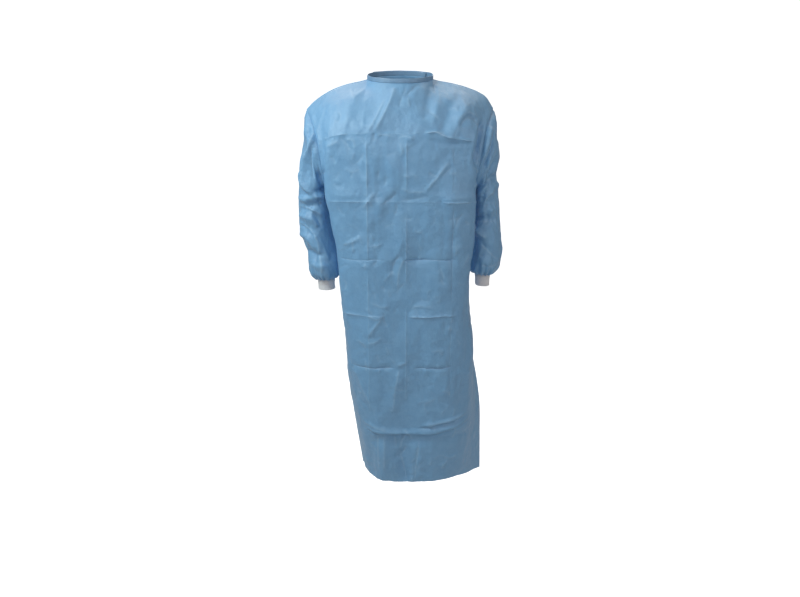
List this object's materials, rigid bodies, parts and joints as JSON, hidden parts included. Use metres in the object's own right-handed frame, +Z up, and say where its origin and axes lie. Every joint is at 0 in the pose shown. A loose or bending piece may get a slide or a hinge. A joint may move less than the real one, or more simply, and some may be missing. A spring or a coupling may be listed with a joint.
{
  "type": "surgical gown",
  "caption": "Long-sleeved surgical gown in its worn shape, hollow and open at neck, cuffs and hem, with a wrapped back closed by a tie at the waist.",
  "frame": {"origin": "centre of the neck opening, on the line between the tops of the shoulders, where the wearer holds the gown up", "axes": "+Z up along the wearer's height, -Y the way the wearer faces, +X to the wearer's left"},
  "size_m": [0.5881, 0.3018, 1.2192],
  "materials": {
    "gown_cloth": "matt blue non-woven cloth, point bonded",
    "cuff_knit": "white rib knit",
    "binding": "folded blue non-woven strip, stitched",
    "tie_tape": "folded blue non-woven tape"
  },
  "bodies": {
    "root": {"front_panel": "gown_cloth", "back_panel_right": "gown_cloth", "back_panel_left": "gown_cloth", "sleeve_right": "gown_cloth", "sleeve_left": "gown_cloth", "cuff_right": "cuff_knit", "cuff_left": "cuff_knit", "neck_binding": "binding", "waist_tie_right": "tie_tape", "waist_tie_left": "tie_tape"}
  },
  "joints": []
}
